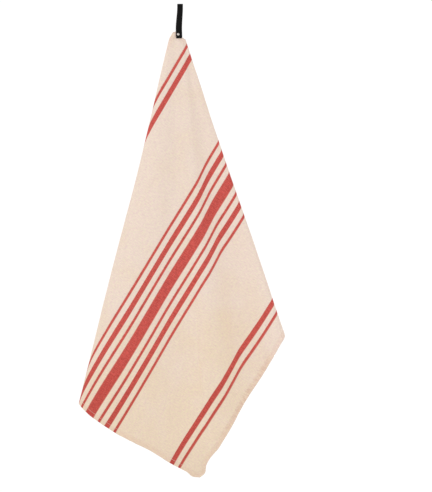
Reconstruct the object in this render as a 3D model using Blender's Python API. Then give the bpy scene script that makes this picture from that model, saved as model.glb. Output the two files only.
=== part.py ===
"""Tea towel hung by one corner from a riveted strap loop.

Units are metres, +Z up. The origin is where the inside of the loop's top bears on whatever
holds it. The front of the towel faces -Y.

The towel is one flat rectangle bent along straight lines that fan out from its hanging corner.
Its flat shape is described by two distances in millimetres: u across the stripes, v along them,
both from the hanging corner. A bend line runs from a place on the top rim (the two edges beside
the hanging corner) to a place on the bottom rim (the bottom edge and the far long edge).
"""

import math

import bmesh
import bpy
import numpy as np
from mathutils import Matrix, Vector

MM = 0.001

# ---- cloth: flat sizes, mm -------------------------------------------------------------------
WIDTH = 506.0
LENGTH = 750.0
FAR_CORNER_U = 505.0
SIDE_CORNER_U = 513.0
BOTTOM_SAG = 2.5
FIELD_THICKNESS = 1.2
HEM_THICKNESS = 1.8
HEM_WIDTH = 10.0
HEM_STEP = 2.5

# ---- cloth: how it hangs ---------------------------------------------------------------------
CORNER_X = -14.1
CORNER_Z = -54.9
STRIPE_LEAN = math.radians(30.5)
CLAMPED_U = 14.0
TOP_RIM_REACH = 90.0
CORNER_LIFT = 9.0
CORNER_LIFT_SPAN = 21.0

# Each fold turns the cloth about lines that run from `top` on the top rim (mm from the hanging
# corner, minus along the long edge, plus along the short edge) to `bottom` on the bottom rim (mm
# from its left end). A plus turn takes the cloth away from the viewer on its right side, as a
# ridge does. The turn is spread over `top_width` and `bottom_width`, in `steps`.
FOLD_COLUMNS = ("name", "top", "bottom", "turn", "top_width", "bottom_width", "steps")
FOLDS = (
    ("left_flap_trough", -66.0, 60.0, -24.0, 14.0, 60.0, 5),
    ("left_flap_ridge", -45.5, 124.0, 18.0, 12.0, 46.0, 5),
    ("left_roll", -19.4, 205.5, 158.0, 27.0, 51.0, 11),
    ("left_ridge", -3.0, 277.0, 28.0, 5.6, 76.0, 7),
    ("middle_trough", 4.0, 430.0, -8.0, 5.0, 100.0, 5),
    ("main_ridge", 22.0, 590.0, 27.0, 2.6, 54.0, 7),
    ("main_trough", 24.5, 700.0, -33.0, 2.0, 70.0, 7),
    ("right_roll", 29.9, 849.0, 170.0, 8.6, 44.0, 11),
    ("right_flap_ridge", 39.5, 985.0, 14.0, 5.0, 90.0, 5),
    ("back_roll", 59.0, 1105.0, -174.0, 26.0, 50.0, 11),
)
FLAT_STEPS = 2

# Soft waves that stiff hems leave along the bottom rim: place and half width along the rim, how
# far up the cloth each reaches, and its height towards the viewer.
WAVE_COLUMNS = ("place", "half_width", "reach", "height")
WAVES = (
    (150.0, 60.0, 160.0, 2.5),
    (355.0, 55.0, 170.0, 2.6),
    (470.0, 34.0, 90.0, -2.2),
    (632.0, 40.0, 120.0, 2.2),
    (735.0, 34.0, 130.0, -2.0),
    (795.0, 26.0, 110.0, 1.6),
    (1010.0, 60.0, 170.0, 3.0),
    (1200.0, 45.0, 140.0, -2.5),
)

# Where the bottom rim runs out past its straight line, or in for a minus: the middle and half
# width of each stretch along the rim, and how far out it runs.
RIM_COLUMNS = ("name", "place", "half_width", "out")
RIM_SHIFTS = (
    ("left_corner", 202.0, 50.0, -8.5),
    ("left_bottom", 313.0, 88.0, 4.5),
    ("right_bottom", 440.0, 50.0, 1.5),
    ("tip_bottom", 490.0, 16.0, 3.3),
    ("tip_side", 522.0, 16.0, 3.5),
    ("tip_notch", 547.0, 36.0, -4.8),
    ("right_hem", 771.0, 159.0, 3.9),
)
TIP_CUT = 1.2
TIP_CUT_REACH = 8.0
TIP_CURL = 4.0
TIP_CURL_REACH = 26.0
# Distances from the far corner, both ways along the rim, at which lines outline its blunt tip.
TIP_LINES = (8.0, 16.0, 27.0, 41.0)

ROWS = 34

# ---- strap, mm -------------------------------------------------------------------------------
STRAP_WIDTH = 11.6
STRAP_THICKNESS = 2.0
STRAP_EDGE_ROUND = 0.35
LOOP_INNER_RADIUS = 4.4
STRAP_END_Z = -67.6
LEGS_CLOSE_Z = -47.0
LEGS_PART_Z = -12.0
FIT_GAP = 0.35

# The strap leans a little: x of each leg's middle at a few heights.
LEAN_COLUMNS = ("z", "front_x", "rear_x")
STRAP_LEAN = (
    (STRAP_END_Z, -2.1, -1.2),
    (-48.0, -2.9, -1.7),
    (-4.0, 0.1, 0.1),
)
LEG_ROWS = 16
BEND_ROWS = 16

# ---- rivet, mm -------------------------------------------------------------------------------
RIVET_X = -3.6
RIVET_Z = -59.4
SHANK_RADIUS = 1.2
HOLE_RADIUS = 1.6
HOLE_CUT_DEPTH = 30.0
HEAD_RADIUS = 2.6
HEAD_HEIGHT = 1.3
CAP_RADIUS = 2.6
CAP_HEIGHT = 0.7
RIVET_EASE = 0.2
RIVET_SIDES = 28
DOME_STEPS = 6


def clear_scene():
    """Remove every object, so that the file holds this model only."""
    for old in list(bpy.data.objects):
        bpy.data.objects.remove(old, do_unlink=True)


def material(name, colour, roughness, metallic=0.0):
    """Make a Principled material from a linear colour."""
    made = bpy.data.materials.new(name)
    made.use_nodes = True
    shader = made.node_tree.nodes["Principled BSDF"]
    shader.inputs["Base Color"].default_value = (*colour, 1.0)
    shader.inputs["Roughness"].default_value = roughness
    shader.inputs["Metallic"].default_value = metallic
    return made


def add_object(name, mesh_data, finish, smooth_angle=40.0):
    """Turn a bmesh into a named object with one material, shaded smooth but for sharp edges."""
    bmesh.ops.recalc_face_normals(mesh_data, faces=mesh_data.faces)
    mesh = bpy.data.meshes.new(name)
    mesh_data.to_mesh(mesh)
    mesh_data.free()
    mesh.materials.append(finish)
    mesh.shade_smooth()
    mesh.set_sharp_from_angle(angle=math.radians(smooth_angle))
    made = bpy.data.objects.new(name, mesh)
    bpy.context.collection.objects.link(made)
    return made


def smooth_step(value):
    """Ease from 0 to 1 with no corner at either end."""
    held = min(max(value, 0.0), 1.0)
    return held * held * (3.0 - 2.0 * held)


def top_rim(place):
    """Flat (u, v) of a place on the top rim; the clamped corner is drawn up a little."""
    across = min(max(place / CORNER_LIFT_SPAN, 0.0), 1.0)
    lift = CORNER_LIFT * math.sin(math.pi * across) ** 1.5
    return Vector((max(place, 0.0), max(-place, 0.0) - lift))


def rim_shift(place):
    """How far the bottom rim runs out past its straight line at a place."""
    shift = 0.0
    for row in RIM_SHIFTS:
        stretch = dict(zip(RIM_COLUMNS, row))
        beside = abs(place - stretch["place"]) / stretch["half_width"]
        shift += stretch["out"] * smooth_step(1.0 - beside)
    return shift


def bottom_edge_v(u):
    """V of the bottom edge, which sags a little between its corners."""
    across = min(max(u / FAR_CORNER_U, 0.0), 1.0)
    return LENGTH + BOTTOM_SAG * math.sin(math.pi * across) + rim_shift(across * WIDTH)


def far_edge_u(v):
    """U of the far long edge, which runs a little out of square."""
    lean = (SIDE_CORNER_U - FAR_CORNER_U) * (1.0 - v / LENGTH)
    return FAR_CORNER_U + lean + rim_shift(max(LENGTH - v, 0.0) + WIDTH)


def bottom_rim(place):
    """Flat (u, v) of a place on the bottom rim, whose far corner is a little blunt."""
    blunt = TIP_CUT * smooth_step(1.0 - abs(place - WIDTH) / TIP_CUT_REACH)
    if place <= WIDTH:
        u = FAR_CORNER_U * place / WIDTH
        return Vector((u - blunt, bottom_edge_v(u) - blunt))
    v = LENGTH - (place - WIDTH)
    return Vector((far_edge_u(v) - blunt, v - blunt))


def bend_lines():
    """List the bend lines as (top place, bottom place, turn in degrees), left to right."""
    ends = (-TOP_RIM_REACH, 0.0)
    lines = [(*ends, 0.0)]
    for row in FOLDS:
        fold = dict(zip(FOLD_COLUMNS, row))
        start = (fold["top"] - fold["top_width"] / 2, fold["bottom"] - fold["bottom_width"] / 2)
        lines += flat_lines(ends, start)
        for step in range(fold["steps"] + 1):
            share = step / fold["steps"]
            before = smooth_step(share - 0.5 / fold["steps"])
            after = smooth_step(share + 0.5 / fold["steps"])
            top = start[0] + share * fold["top_width"]
            bottom = start[1] + share * fold["bottom_width"]
            lines.append((top, bottom, fold["turn"] * (after - before)))
        ends = lines[-1][:2]
    last = (TOP_RIM_REACH, WIDTH + LENGTH)
    lines += flat_lines(ends, last)
    lines.append((*last, 0.0))
    return with_far_corner(lines)


def flat_lines(first, last):
    """Spread a few lines that do not turn over the flat cloth between two folds."""
    lines = []
    for step in range(1, FLAT_STEPS):
        share = step / FLAT_STEPS
        top = first[0] + share * (last[0] - first[0])
        bottom = first[1] + share * (last[1] - first[1])
        lines.append((top, bottom, 0.0))
    return lines


def with_far_corner(lines):
    """Add lines that end on the far corner and beside it, which keep its outline."""
    after = next(index for index, line in enumerate(lines) if line[1] > WIDTH)
    before, beyond = lines[after - 1], lines[after]
    both_ways = [-reach for reach in reversed(TIP_LINES)] + [0.0, *TIP_LINES]
    added = []
    for offset in both_ways:
        share = (WIDTH + offset - before[1]) / (beyond[1] - before[1])
        if 0.0 < share < 1.0:
            top = before[0] + share * (beyond[0] - before[0])
            added.append((top, WIDTH + offset, 0.0))
    return lines[:after] + added + lines[after:]


def turn_about(axis, degrees):
    """Rotation matrix about an axis through the origin."""
    unit = axis / np.linalg.norm(axis)
    x, y, z = unit
    cross = np.array(((0.0, -z, y), (z, 0.0, -x), (-y, x, 0.0)))
    angle = math.radians(degrees)
    return np.eye(3) + math.sin(angle) * cross + (1.0 - math.cos(angle)) * cross @ cross


def walk_folds(lines):
    """Place each bend line's two ends in space (mm), starting from the clamped flat strip."""
    tops = [np.array(top_rim(line[0])) for line in lines]
    bottoms = [np.array(bottom_rim(line[1])) for line in lines]
    lean_cos, lean_sin = math.cos(STRIPE_LEAN), math.sin(STRIPE_LEAN)
    start_frame = np.array(((lean_cos, -lean_sin), (0.0, 0.0), (-lean_sin, -lean_cos)))
    start_origin = np.array((CORNER_X, 0.0, CORNER_Z))
    start = max(index for index, line in enumerate(lines) if line[0] < CLAMPED_U)
    placed = [None] * len(lines)
    for direction in (1, -1):
        frame, origin = start_frame.copy(), start_origin.copy()
        last = len(lines) if direction > 0 else -1
        for index in range(start, last, direction):
            top = frame @ tops[index] + origin
            bottom = frame @ bottoms[index] + origin
            placed[index] = (top, bottom)
            skip = index == start and direction > 0
            if not skip:
                frame = turn_about(bottom - top, -direction * lines[index][2]) @ frame
                origin = top - frame @ tops[index]
    return tops, bottoms, placed


def row_shares(top, bottom, place):
    """Shares of a bend line at which the rows cross it; the last three bound the hem."""
    down = bottom - top
    across = down[1] if place <= WIDTH else down[0]
    above_step = 1.0 - (HEM_WIDTH + HEM_STEP) / across
    above_hem = 1.0 - HEM_WIDTH / across
    shares = [above_step * row / (ROWS - 3) for row in range(ROWS - 2)]
    return shares + [above_hem, 1.0]


def wave_height(place, from_rim):
    """Height of the hem's soft waves at a place, a distance up from the bottom rim."""
    height = 0.0
    for row in WAVES:
        wave = dict(zip(WAVE_COLUMNS, row))
        beside = abs(place - wave["place"]) / wave["half_width"]
        near = 1.0 - from_rim / wave["reach"]
        height += wave["height"] * smooth_step(1.0 - beside) * smooth_step(near)
    return height


def cloth_thickness(u, v):
    """Thickness of the cloth, which is thicker where its hems are turned."""
    edge = min(u, v, far_edge_u(v) - u, bottom_edge_v(u) - v)
    inside = smooth_step((edge - HEM_WIDTH) / HEM_STEP)
    return HEM_THICKNESS + (FIELD_THICKNESS - HEM_THICKNESS) * inside


def tip_curl(flat):
    """How far the blunt tip at the far corner curls away from the viewer."""
    distance = np.linalg.norm(flat - np.array(bottom_rim(WIDTH)))
    return TIP_CURL * smooth_step(1.0 - distance / TIP_CURL_REACH)


def sheet_points():
    """Work out the middle surface of the cloth: points (mm) and thicknesses, line by line."""
    lines = bend_lines()
    tops, bottoms, placed = walk_folds(lines)
    points = np.zeros((len(lines), ROWS, 3))
    thick = np.zeros((len(lines), ROWS))
    for index, line in enumerate(lines):
        top, bottom = placed[index]
        length = np.linalg.norm(bottom - top)
        before = placed[max(index - 1, 0)]
        after = placed[min(index + 1, len(lines) - 1)]
        away = np.cross(after[1] - before[1], bottom - top)
        away /= np.linalg.norm(away)
        shares = row_shares(tops[index], bottoms[index], line[1])
        for row, share in enumerate(shares):
            flat = tops[index] + share * (bottoms[index] - tops[index])
            curl = tip_curl(flat)
            height = curl - wave_height(line[1], (1.0 - share) * length)
            points[index, row] = top + share * (bottom - top) + away * height
            points[index, row, 2] += curl / 2
            thick[index, row] = cloth_thickness(flat[0], flat[1])
    return points, thick


def cut_rivet_hole(target):
    """Cut the rivet's hole, which runs along Y, through an object."""
    shape = bmesh.new()
    bmesh.ops.create_cone(
        shape, cap_ends=True, segments=RIVET_SIDES, depth=HOLE_CUT_DEPTH * MM,
        radius1=HOLE_RADIUS * MM, radius2=HOLE_RADIUS * MM,
    )
    upright_to_y = Matrix.Rotation(math.radians(90.0), 3, "X")
    bmesh.ops.rotate(shape, verts=shape.verts, cent=(0, 0, 0), matrix=upright_to_y)
    bmesh.ops.translate(shape, verts=shape.verts, vec=(RIVET_X * MM, 0, RIVET_Z * MM))
    cutter = add_object(target.name + "_hole_cutter", shape, target.data.materials[0])
    cutter.hide_render = True
    cutter.display_type = "WIRE"
    cut = target.modifiers.new("rivet_hole", "BOOLEAN")
    cut.operation = "DIFFERENCE"
    cut.solver = "EXACT"
    cut.object = cutter


def build_cloth(finish):
    """Bend a flat grid along the folds and give it thickness."""
    points, thick = sheet_points()
    line_count = len(points)
    shape = bmesh.new()
    bmesh.ops.create_grid(shape, x_segments=line_count - 1, y_segments=ROWS - 1, size=1.0)
    weights = shape.verts.layers.deform.verify()
    for vert in shape.verts:
        index = round((vert.co.x + 1.0) / 2.0 * (line_count - 1))
        row = round((vert.co.y + 1.0) / 2.0 * (ROWS - 1))
        vert.co = Vector(points[index, row]) * MM
        vert[weights][0] = thick[index, row] / HEM_THICKNESS
    cloth = add_object("towel_cloth", shape, finish, smooth_angle=60.0)
    group = cloth.vertex_groups.new(name="thickness")
    skin = cloth.modifiers.new("thickness", "SOLIDIFY")
    skin.thickness = HEM_THICKNESS * MM
    skin.offset = 0.0
    skin.vertex_group = group.name
    skin.use_even_offset = False
    cut_rivet_hole(cloth)
    return cloth


def leg_x(z, column):
    """X of a leg's middle at a height, eased between the rows of the lean table."""
    rows = [dict(zip(LEAN_COLUMNS, row)) for row in STRAP_LEAN]
    for below, above in zip(rows, rows[1:]):
        if z <= above["z"]:
            share = smooth_step((z - below["z"]) / (above["z"] - below["z"]))
            return below[column] + (above[column] - below[column]) * share
    return rows[-1][column]


def leg_offset(z):
    """Distance of a leg's middle from the loop's middle plane at a height."""
    closed = HEM_THICKNESS / 2 + FIT_GAP + STRAP_THICKNESS / 2
    apart = LOOP_INNER_RADIUS + STRAP_THICKNESS / 2
    share = smooth_step((z - LEGS_CLOSE_Z) / (LEGS_PART_Z - LEGS_CLOSE_Z))
    return closed + (apart - closed) * share


def strap_path():
    """Centre line of the strap (mm): up the front leg, over the top, down the rear leg."""
    radius = LOOP_INNER_RADIUS + STRAP_THICKNESS / 2
    spring = -LOOP_INNER_RADIUS
    path = []
    for row in range(LEG_ROWS):
        z = STRAP_END_Z + (spring - STRAP_END_Z) * row / LEG_ROWS
        path.append((leg_x(z, "front_x"), -leg_offset(z), z))
    for row in range(BEND_ROWS + 1):
        angle = math.pi * row / BEND_ROWS
        z = spring + radius * math.sin(angle)
        share = row / BEND_ROWS
        x = leg_x(z, "front_x") * (1.0 - share) + leg_x(z, "rear_x") * share
        path.append((x, -radius * math.cos(angle), z))
    for row in reversed(range(LEG_ROWS)):
        z = STRAP_END_Z + (spring - STRAP_END_Z) * row / LEG_ROWS
        path.append((leg_x(z, "rear_x"), leg_offset(z), z))
    return path


def build_strap(finish):
    """Sweep the strap's width along its path, thicken it and round its edges."""
    path = strap_path()
    shape = bmesh.new()
    bmesh.ops.create_grid(shape, x_segments=1, y_segments=len(path) - 1, size=1.0)
    for vert in shape.verts:
        row = round((vert.co.y + 1.0) / 2.0 * (len(path) - 1))
        x, y, z = path[row]
        side = STRAP_WIDTH / 2 * vert.co.x
        vert.co = Vector((x + side, y, z)) * MM
    strap = add_object("hanging_loop", shape, finish)
    skin = strap.modifiers.new("thickness", "SOLIDIFY")
    skin.thickness = STRAP_THICKNESS * MM
    skin.offset = 0.0
    rounding = strap.modifiers.new("rounded_edges", "BEVEL")
    rounding.width = STRAP_EDGE_ROUND * MM
    rounding.segments = 2
    rounding.limit_method = "ANGLE"
    rounding.angle_limit = math.radians(60.0)
    cut_rivet_hole(strap)
    return strap


def build_rivet(finish):
    """Turn the rivet's half outline about its own axis, which runs along Y."""
    outer = HEM_THICKNESS / 2 + FIT_GAP + STRAP_THICKNESS
    head_seat = -(outer + FIT_GAP)
    cap_seat = outer + FIT_GAP
    rim = head_seat - RIVET_EASE
    outline = []
    for step in range(DOME_STEPS + 1):
        angle = math.pi / 2 * step / DOME_STEPS
        outline.append((HEAD_RADIUS * math.sin(angle), rim - HEAD_HEIGHT * math.cos(angle)))
    outline += [
        (HEAD_RADIUS - RIVET_EASE, head_seat),
        (SHANK_RADIUS, head_seat),
        (SHANK_RADIUS, cap_seat),
        (CAP_RADIUS - RIVET_EASE, cap_seat),
        (CAP_RADIUS, cap_seat + RIVET_EASE),
        (CAP_RADIUS - RIVET_EASE, cap_seat + CAP_HEIGHT),
        (0.0, cap_seat + CAP_HEIGHT),
    ]
    shape = bmesh.new()
    verts = [shape.verts.new((radius * MM, y * MM, 0.0)) for radius, y in outline]
    edges = [shape.edges.new(pair) for pair in zip(verts, verts[1:])]
    bmesh.ops.spin(
        shape, geom=verts + edges, cent=(0, 0, 0), axis=(0, 1, 0),
        angle=math.tau, steps=RIVET_SIDES, use_merge=True,
    )
    bmesh.ops.remove_doubles(shape, verts=shape.verts, dist=0.00001)
    bmesh.ops.translate(shape, verts=shape.verts, vec=(RIVET_X * MM, 0, RIVET_Z * MM))
    return add_object("loop_rivet", shape, finish, smooth_angle=35.0)


def main():
    """Build the three pieces."""
    clear_scene()
    build_cloth(material("striped_cotton_linen", (0.823, 0.675, 0.552), 0.92))
    build_strap(material("black_leather", (0.012, 0.011, 0.012), 0.55))
    build_rivet(material("silver_metal", (0.78, 0.77, 0.76), 0.28, metallic=1.0))


if __name__ == "__main__":
    main()
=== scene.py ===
"""Dresses a striped tea towel that hangs by one corner from a short riveted strap loop.

The scene is in metres, +Z up, with the front of the towel facing -Y. The tables and the dataclass
fields are in millimetres and degrees, and MM turns millimetres into metres.

The towel is one flat rectangle bent along straight lines that fan out from its hanging corner. Its
flat shape has two distances: u across the stripes and v along them, both from that corner. A bend
line runs from a place on the top rim (the two edges beside the hanging corner, minus along the
long edge, plus along the short one) to a place on the bottom rim (the bottom edge from its left
end, and then up the far long edge).
"""

import logging
import math
from collections.abc import Callable, Sequence
from dataclasses import dataclass, field
from enum import Enum

import bmesh
import bpy
import numpy as np
from mathutils import Matrix, Vector, noise


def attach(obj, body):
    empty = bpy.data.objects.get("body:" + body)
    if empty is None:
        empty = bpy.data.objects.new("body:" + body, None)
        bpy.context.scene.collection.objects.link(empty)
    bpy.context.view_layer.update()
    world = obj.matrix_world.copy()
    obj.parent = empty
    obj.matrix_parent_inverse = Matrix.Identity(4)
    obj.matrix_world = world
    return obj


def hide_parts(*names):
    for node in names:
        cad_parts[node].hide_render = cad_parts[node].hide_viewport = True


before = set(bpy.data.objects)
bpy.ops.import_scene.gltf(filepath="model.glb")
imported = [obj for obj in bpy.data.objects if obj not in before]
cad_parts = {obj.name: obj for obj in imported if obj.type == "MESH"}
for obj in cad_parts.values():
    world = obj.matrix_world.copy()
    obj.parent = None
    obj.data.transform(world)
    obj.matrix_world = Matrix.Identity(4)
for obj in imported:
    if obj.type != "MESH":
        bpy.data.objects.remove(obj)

MM = 0.001
# How far the rivet hole's punch reaches through a piece, and how close points have to lie to
# become one.
PUNCH_DEPTH = 30.0
MERGE_DISTANCE = 0.004

log = logging.getLogger("tea_towel")


# ---- small helpers ---------------------------------------------------------------------------
def smooth_step(value: float) -> float:
    """Ease from 0 to 1 with no corner at either end."""
    held = min(max(value, 0.0), 1.0)
    return held * held * (3.0 - 2.0 * held)


def linear(hex_colour: str) -> tuple[float, float, float, float]:
    """Turn an sRGB hex colour into a linear colour.

    Args:
        hex_colour: six hex digits after a hash sign.

    Returns:
        Linear red, green, blue and an alpha of 1.
    """
    parts = [int(hex_colour[start:start + 2], 16) / 255.0 for start in (1, 3, 5)]
    red, green, blue = (
        part / 12.92 if part <= 0.04045 else ((part + 0.055) / 1.055) ** 2.4 for part in parts
    )
    return (red, green, blue, 1.0)


def add_node(
    tree: bpy.types.NodeTree,
    kind: str,
    settings: dict[str, object] | None = None,
    values: dict[str | int, object] | None = None,
    links: dict[str | int, bpy.types.NodeSocket] | None = None,
) -> bpy.types.Node:
    """Add a shader node with its settings, socket values and links.

    Args:
        tree: the node tree that gets the node.
        kind: the node's type.
        settings: node properties by name.
        values: input socket values by name or number.
        links: output sockets that feed the node's inputs, by name or number.

    Returns:
        The new node.
    """
    node = tree.nodes.new(kind)
    for name, value in (settings or {}).items():
        setattr(node, name, value)
    for key, value in (values or {}).items():
        node.inputs[key].default_value = value
    for key, socket in (links or {}).items():
        tree.links.new(socket, node.inputs[key])
    return node


def new_material(name: str) -> tuple[bpy.types.Material, bpy.types.NodeTree, bpy.types.Node]:
    """Make a material with nodes.

    Args:
        name: the material's name.

    Returns:
        The material, its node tree and its Principled shader.
    """
    made = bpy.data.materials.new(name)
    made.use_nodes = True
    return made, made.node_tree, made.node_tree.nodes["Principled BSDF"]


def make_object(
    name: str, shape: bmesh.types.BMesh, materials: Sequence[bpy.types.Material],
    smooth_angle: float = 40.0,
) -> bpy.types.Object:
    """Turn a bmesh into a linked object, shaded smooth but for sharp edges.

    Args:
        name: the object's name.
        shape: the bmesh, which is freed.
        materials: the object's materials in slot order.
        smooth_angle: edges sharper than this, in degrees, stay crisp.

    Returns:
        The new object, at the origin.
    """
    mesh = bpy.data.meshes.new(name)
    shape.to_mesh(mesh)
    shape.free()
    for made in materials:
        mesh.materials.append(made)
    mesh.shade_smooth()
    mesh.set_sharp_from_angle(angle=math.radians(smooth_angle))
    piece = bpy.data.objects.new(name, mesh)
    bpy.context.collection.objects.link(piece)
    return piece


def apply_modifiers(piece: bpy.types.Object) -> None:
    """Replace an object's mesh by what its modifiers make of it.

    Args:
        piece: the object, which loses its modifiers.
    """
    graph = bpy.context.evaluated_depsgraph_get()
    finished = bpy.data.meshes.new_from_object(piece.evaluated_get(graph), depsgraph=graph)
    piece.modifiers.clear()
    piece.data = finished


def punch_hole(
    piece: bpy.types.Object, centre: tuple[float, float], radius: float, sides: int = 40,
) -> None:
    """Punch a round hole along Y through a piece.

    Args:
        piece: the piece, whose other modifiers are applied with the hole.
        centre: x and z of the hole, in millimetres.
        radius: radius of the hole, in millimetres.
        sides: how many sides the round hole has.
    """
    shape = bmesh.new()
    bmesh.ops.create_cone(
        shape, cap_ends=True, segments=sides, depth=PUNCH_DEPTH * MM, radius1=radius * MM,
        radius2=radius * MM,
    )
    bmesh.ops.rotate(
        shape, verts=shape.verts, cent=(0, 0, 0), matrix=Matrix.Rotation(math.pi / 2, 3, "X"),
    )
    bmesh.ops.translate(shape, verts=shape.verts, vec=(centre[0] * MM, 0.0, centre[1] * MM))
    punch = make_object(piece.name + "_punch", shape, piece.data.materials[:1])
    cut = piece.modifiers.new("rivet_hole", "BOOLEAN")
    cut.operation = "DIFFERENCE"
    cut.solver = "EXACT"
    cut.object = punch
    apply_modifiers(piece)
    bpy.data.objects.remove(punch, do_unlink=True)


# ---- tables that describe this towel ---------------------------------------------------------
class ClothSide(Enum):
    """The two sides of the cloth; the hems are turned to the wrong side."""

    RIGHT = "right"
    WRONG = "wrong"


@dataclass(frozen=True)
class Fold:
    """A fold about bend lines between two places on the rims; a plus turn makes a ridge."""

    name: str
    top: float
    bottom: float
    turn: float
    top_width: float
    bottom_width: float


@dataclass(frozen=True)
class Wave:
    """A soft wave that a stiff hem leaves at a place on the rim; plus is to the right side."""

    place: float
    half_width: float
    reach: float
    height: float


@dataclass(frozen=True)
class Crease:
    """A soft ridge on the right side, or a trough for a minus, over a share of a bend line."""

    name: str
    place: float
    half_width: float
    share: float
    share_reach: float
    height: float


@dataclass(frozen=True)
class RimShift:
    """A stretch where the bottom rim runs out past its straight line, or in for a minus."""

    name: str
    place: float
    half_width: float
    out: float


@dataclass(frozen=True)
class Stripe:
    """A red stripe, given by its distance from the pattern's middle line and its width."""

    offset: float
    width: float


@dataclass(frozen=True)
class Pull:
    """A pull on the bias that bows the stripes sideways.

    It lies at a place on the bottom rim and a share of the way down the bend line to it, and its
    reach fades along the rim and along the line. A plus shift bows them away from the hidden edge.
    """

    name: str
    place: float
    reach: float
    share: float
    share_reach: float
    shift: float


@dataclass(frozen=True)
class Tone:
    """A soft patch of painted shade in creamier cloth, or of painted light in pinker cloth for a
    minus, at a place on the flat.
    """

    u: float
    v: float
    reach: float
    warmth: float


FOLDS = (
    Fold("left_flap_trough", -66.0, 60.0, -24.0, 14.0, 60.0),
    Fold("left_flap_ridge", -45.5, 124.0, 18.0, 12.0, 46.0),
    Fold("left_roll", -19.4, 205.5, 158.0, 27.0, 51.0),
    Fold("left_ridge", -3.0, 277.0, 28.0, 5.6, 76.0),
    Fold("middle_trough", 4.0, 430.0, -8.0, 5.0, 100.0),
    Fold("main_ridge", 22.0, 590.0, 27.0, 2.6, 54.0),
    Fold("main_trough", 24.5, 700.0, -33.0, 2.0, 70.0),
    Fold("right_roll", 29.9, 849.0, 170.0, 8.6, 44.0),
    Fold("right_flap_ridge", 39.5, 985.0, 14.0, 5.0, 90.0),
    Fold("back_roll", 59.0, 1105.0, -174.0, 26.0, 50.0),
)

WAVES = (
    Wave(150.0, 60.0, 160.0, 2.5),
    Wave(355.0, 55.0, 170.0, 2.6),
    Wave(470.0, 34.0, 90.0, -2.2),
    Wave(632.0, 40.0, 120.0, 2.2),
    Wave(752.0, 40.0, 150.0, -2.6),
    Wave(815.0, 34.0, 140.0, 2.2),
    Wave(1010.0, 60.0, 170.0, 3.0),
    Wave(1200.0, 45.0, 140.0, -2.5),
)

CREASES = (
    Crease("left_edge", 205.5, 70.0, 0.34, 0.34, -3.2),
    Crease("right_edge", 849.0, 50.0, 0.35, 0.45, -2.2),
    Crease("left_crest", 360.0, 95.0, 0.43, 0.32, 4.6),
    Crease("bottom_crest", 400.0, 125.0, 0.81, 0.19, 6.0),
    Crease("middle_hollow", 478.0, 95.0, 0.78, 0.36, -5.8),
    Crease("main_crest", 632.0, 105.0, 0.77, 0.36, 5.8),
    Crease("main_hollow", 752.0, 85.0, 0.76, 0.44, -5.0),
    Crease("tip_crest", 525.0, 75.0, 0.87, 0.15, 6.0),
)

RIM_SHIFTS = (
    RimShift("left_corner", 202.0, 50.0, -8.5),
    RimShift("left_bottom", 313.0, 88.0, 4.5),
    RimShift("right_bottom", 440.0, 50.0, 1.5),
    RimShift("tip_bottom", 490.0, 16.0, 3.3),
    RimShift("tip_side", 522.0, 16.0, 3.5),
    RimShift("tip_notch", 547.0, 36.0, -4.8),
    RimShift("right_hem", 771.0, 159.0, 3.9),
)

STRIPES = (
    Stripe(0.0, 20.4),
    Stripe(23.0, 5.5),
    Stripe(40.5, 10.1),
    Stripe(58.0, 5.5),
    Stripe(193.7, 10.1),
    Stripe(211.3, 5.6),
)

PULLS = (
    Pull("left_bottom", 240.0, 40.0, 1.0, 0.20, -5.0),
    Pull("right_bottom", 470.0, 50.0, 1.0, 0.12, -4.5),
    Pull("upper_middle", 560.0, 110.0, 0.41, 0.13, 4.0),
    Pull("side_corner", 840.0, 110.0, 0.90, 0.30, 10.5),
)

# Patches of painted shade (creamier, darker) and, for a minus, of painted light (pinker, lighter).
TONES = (
    Tone(395.0, 455.0, 85.0, 0.55),
    Tone(505.0, 405.0, 95.0, -0.9),
    Tone(400.0, 330.0, 70.0, -0.3),
)


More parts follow.
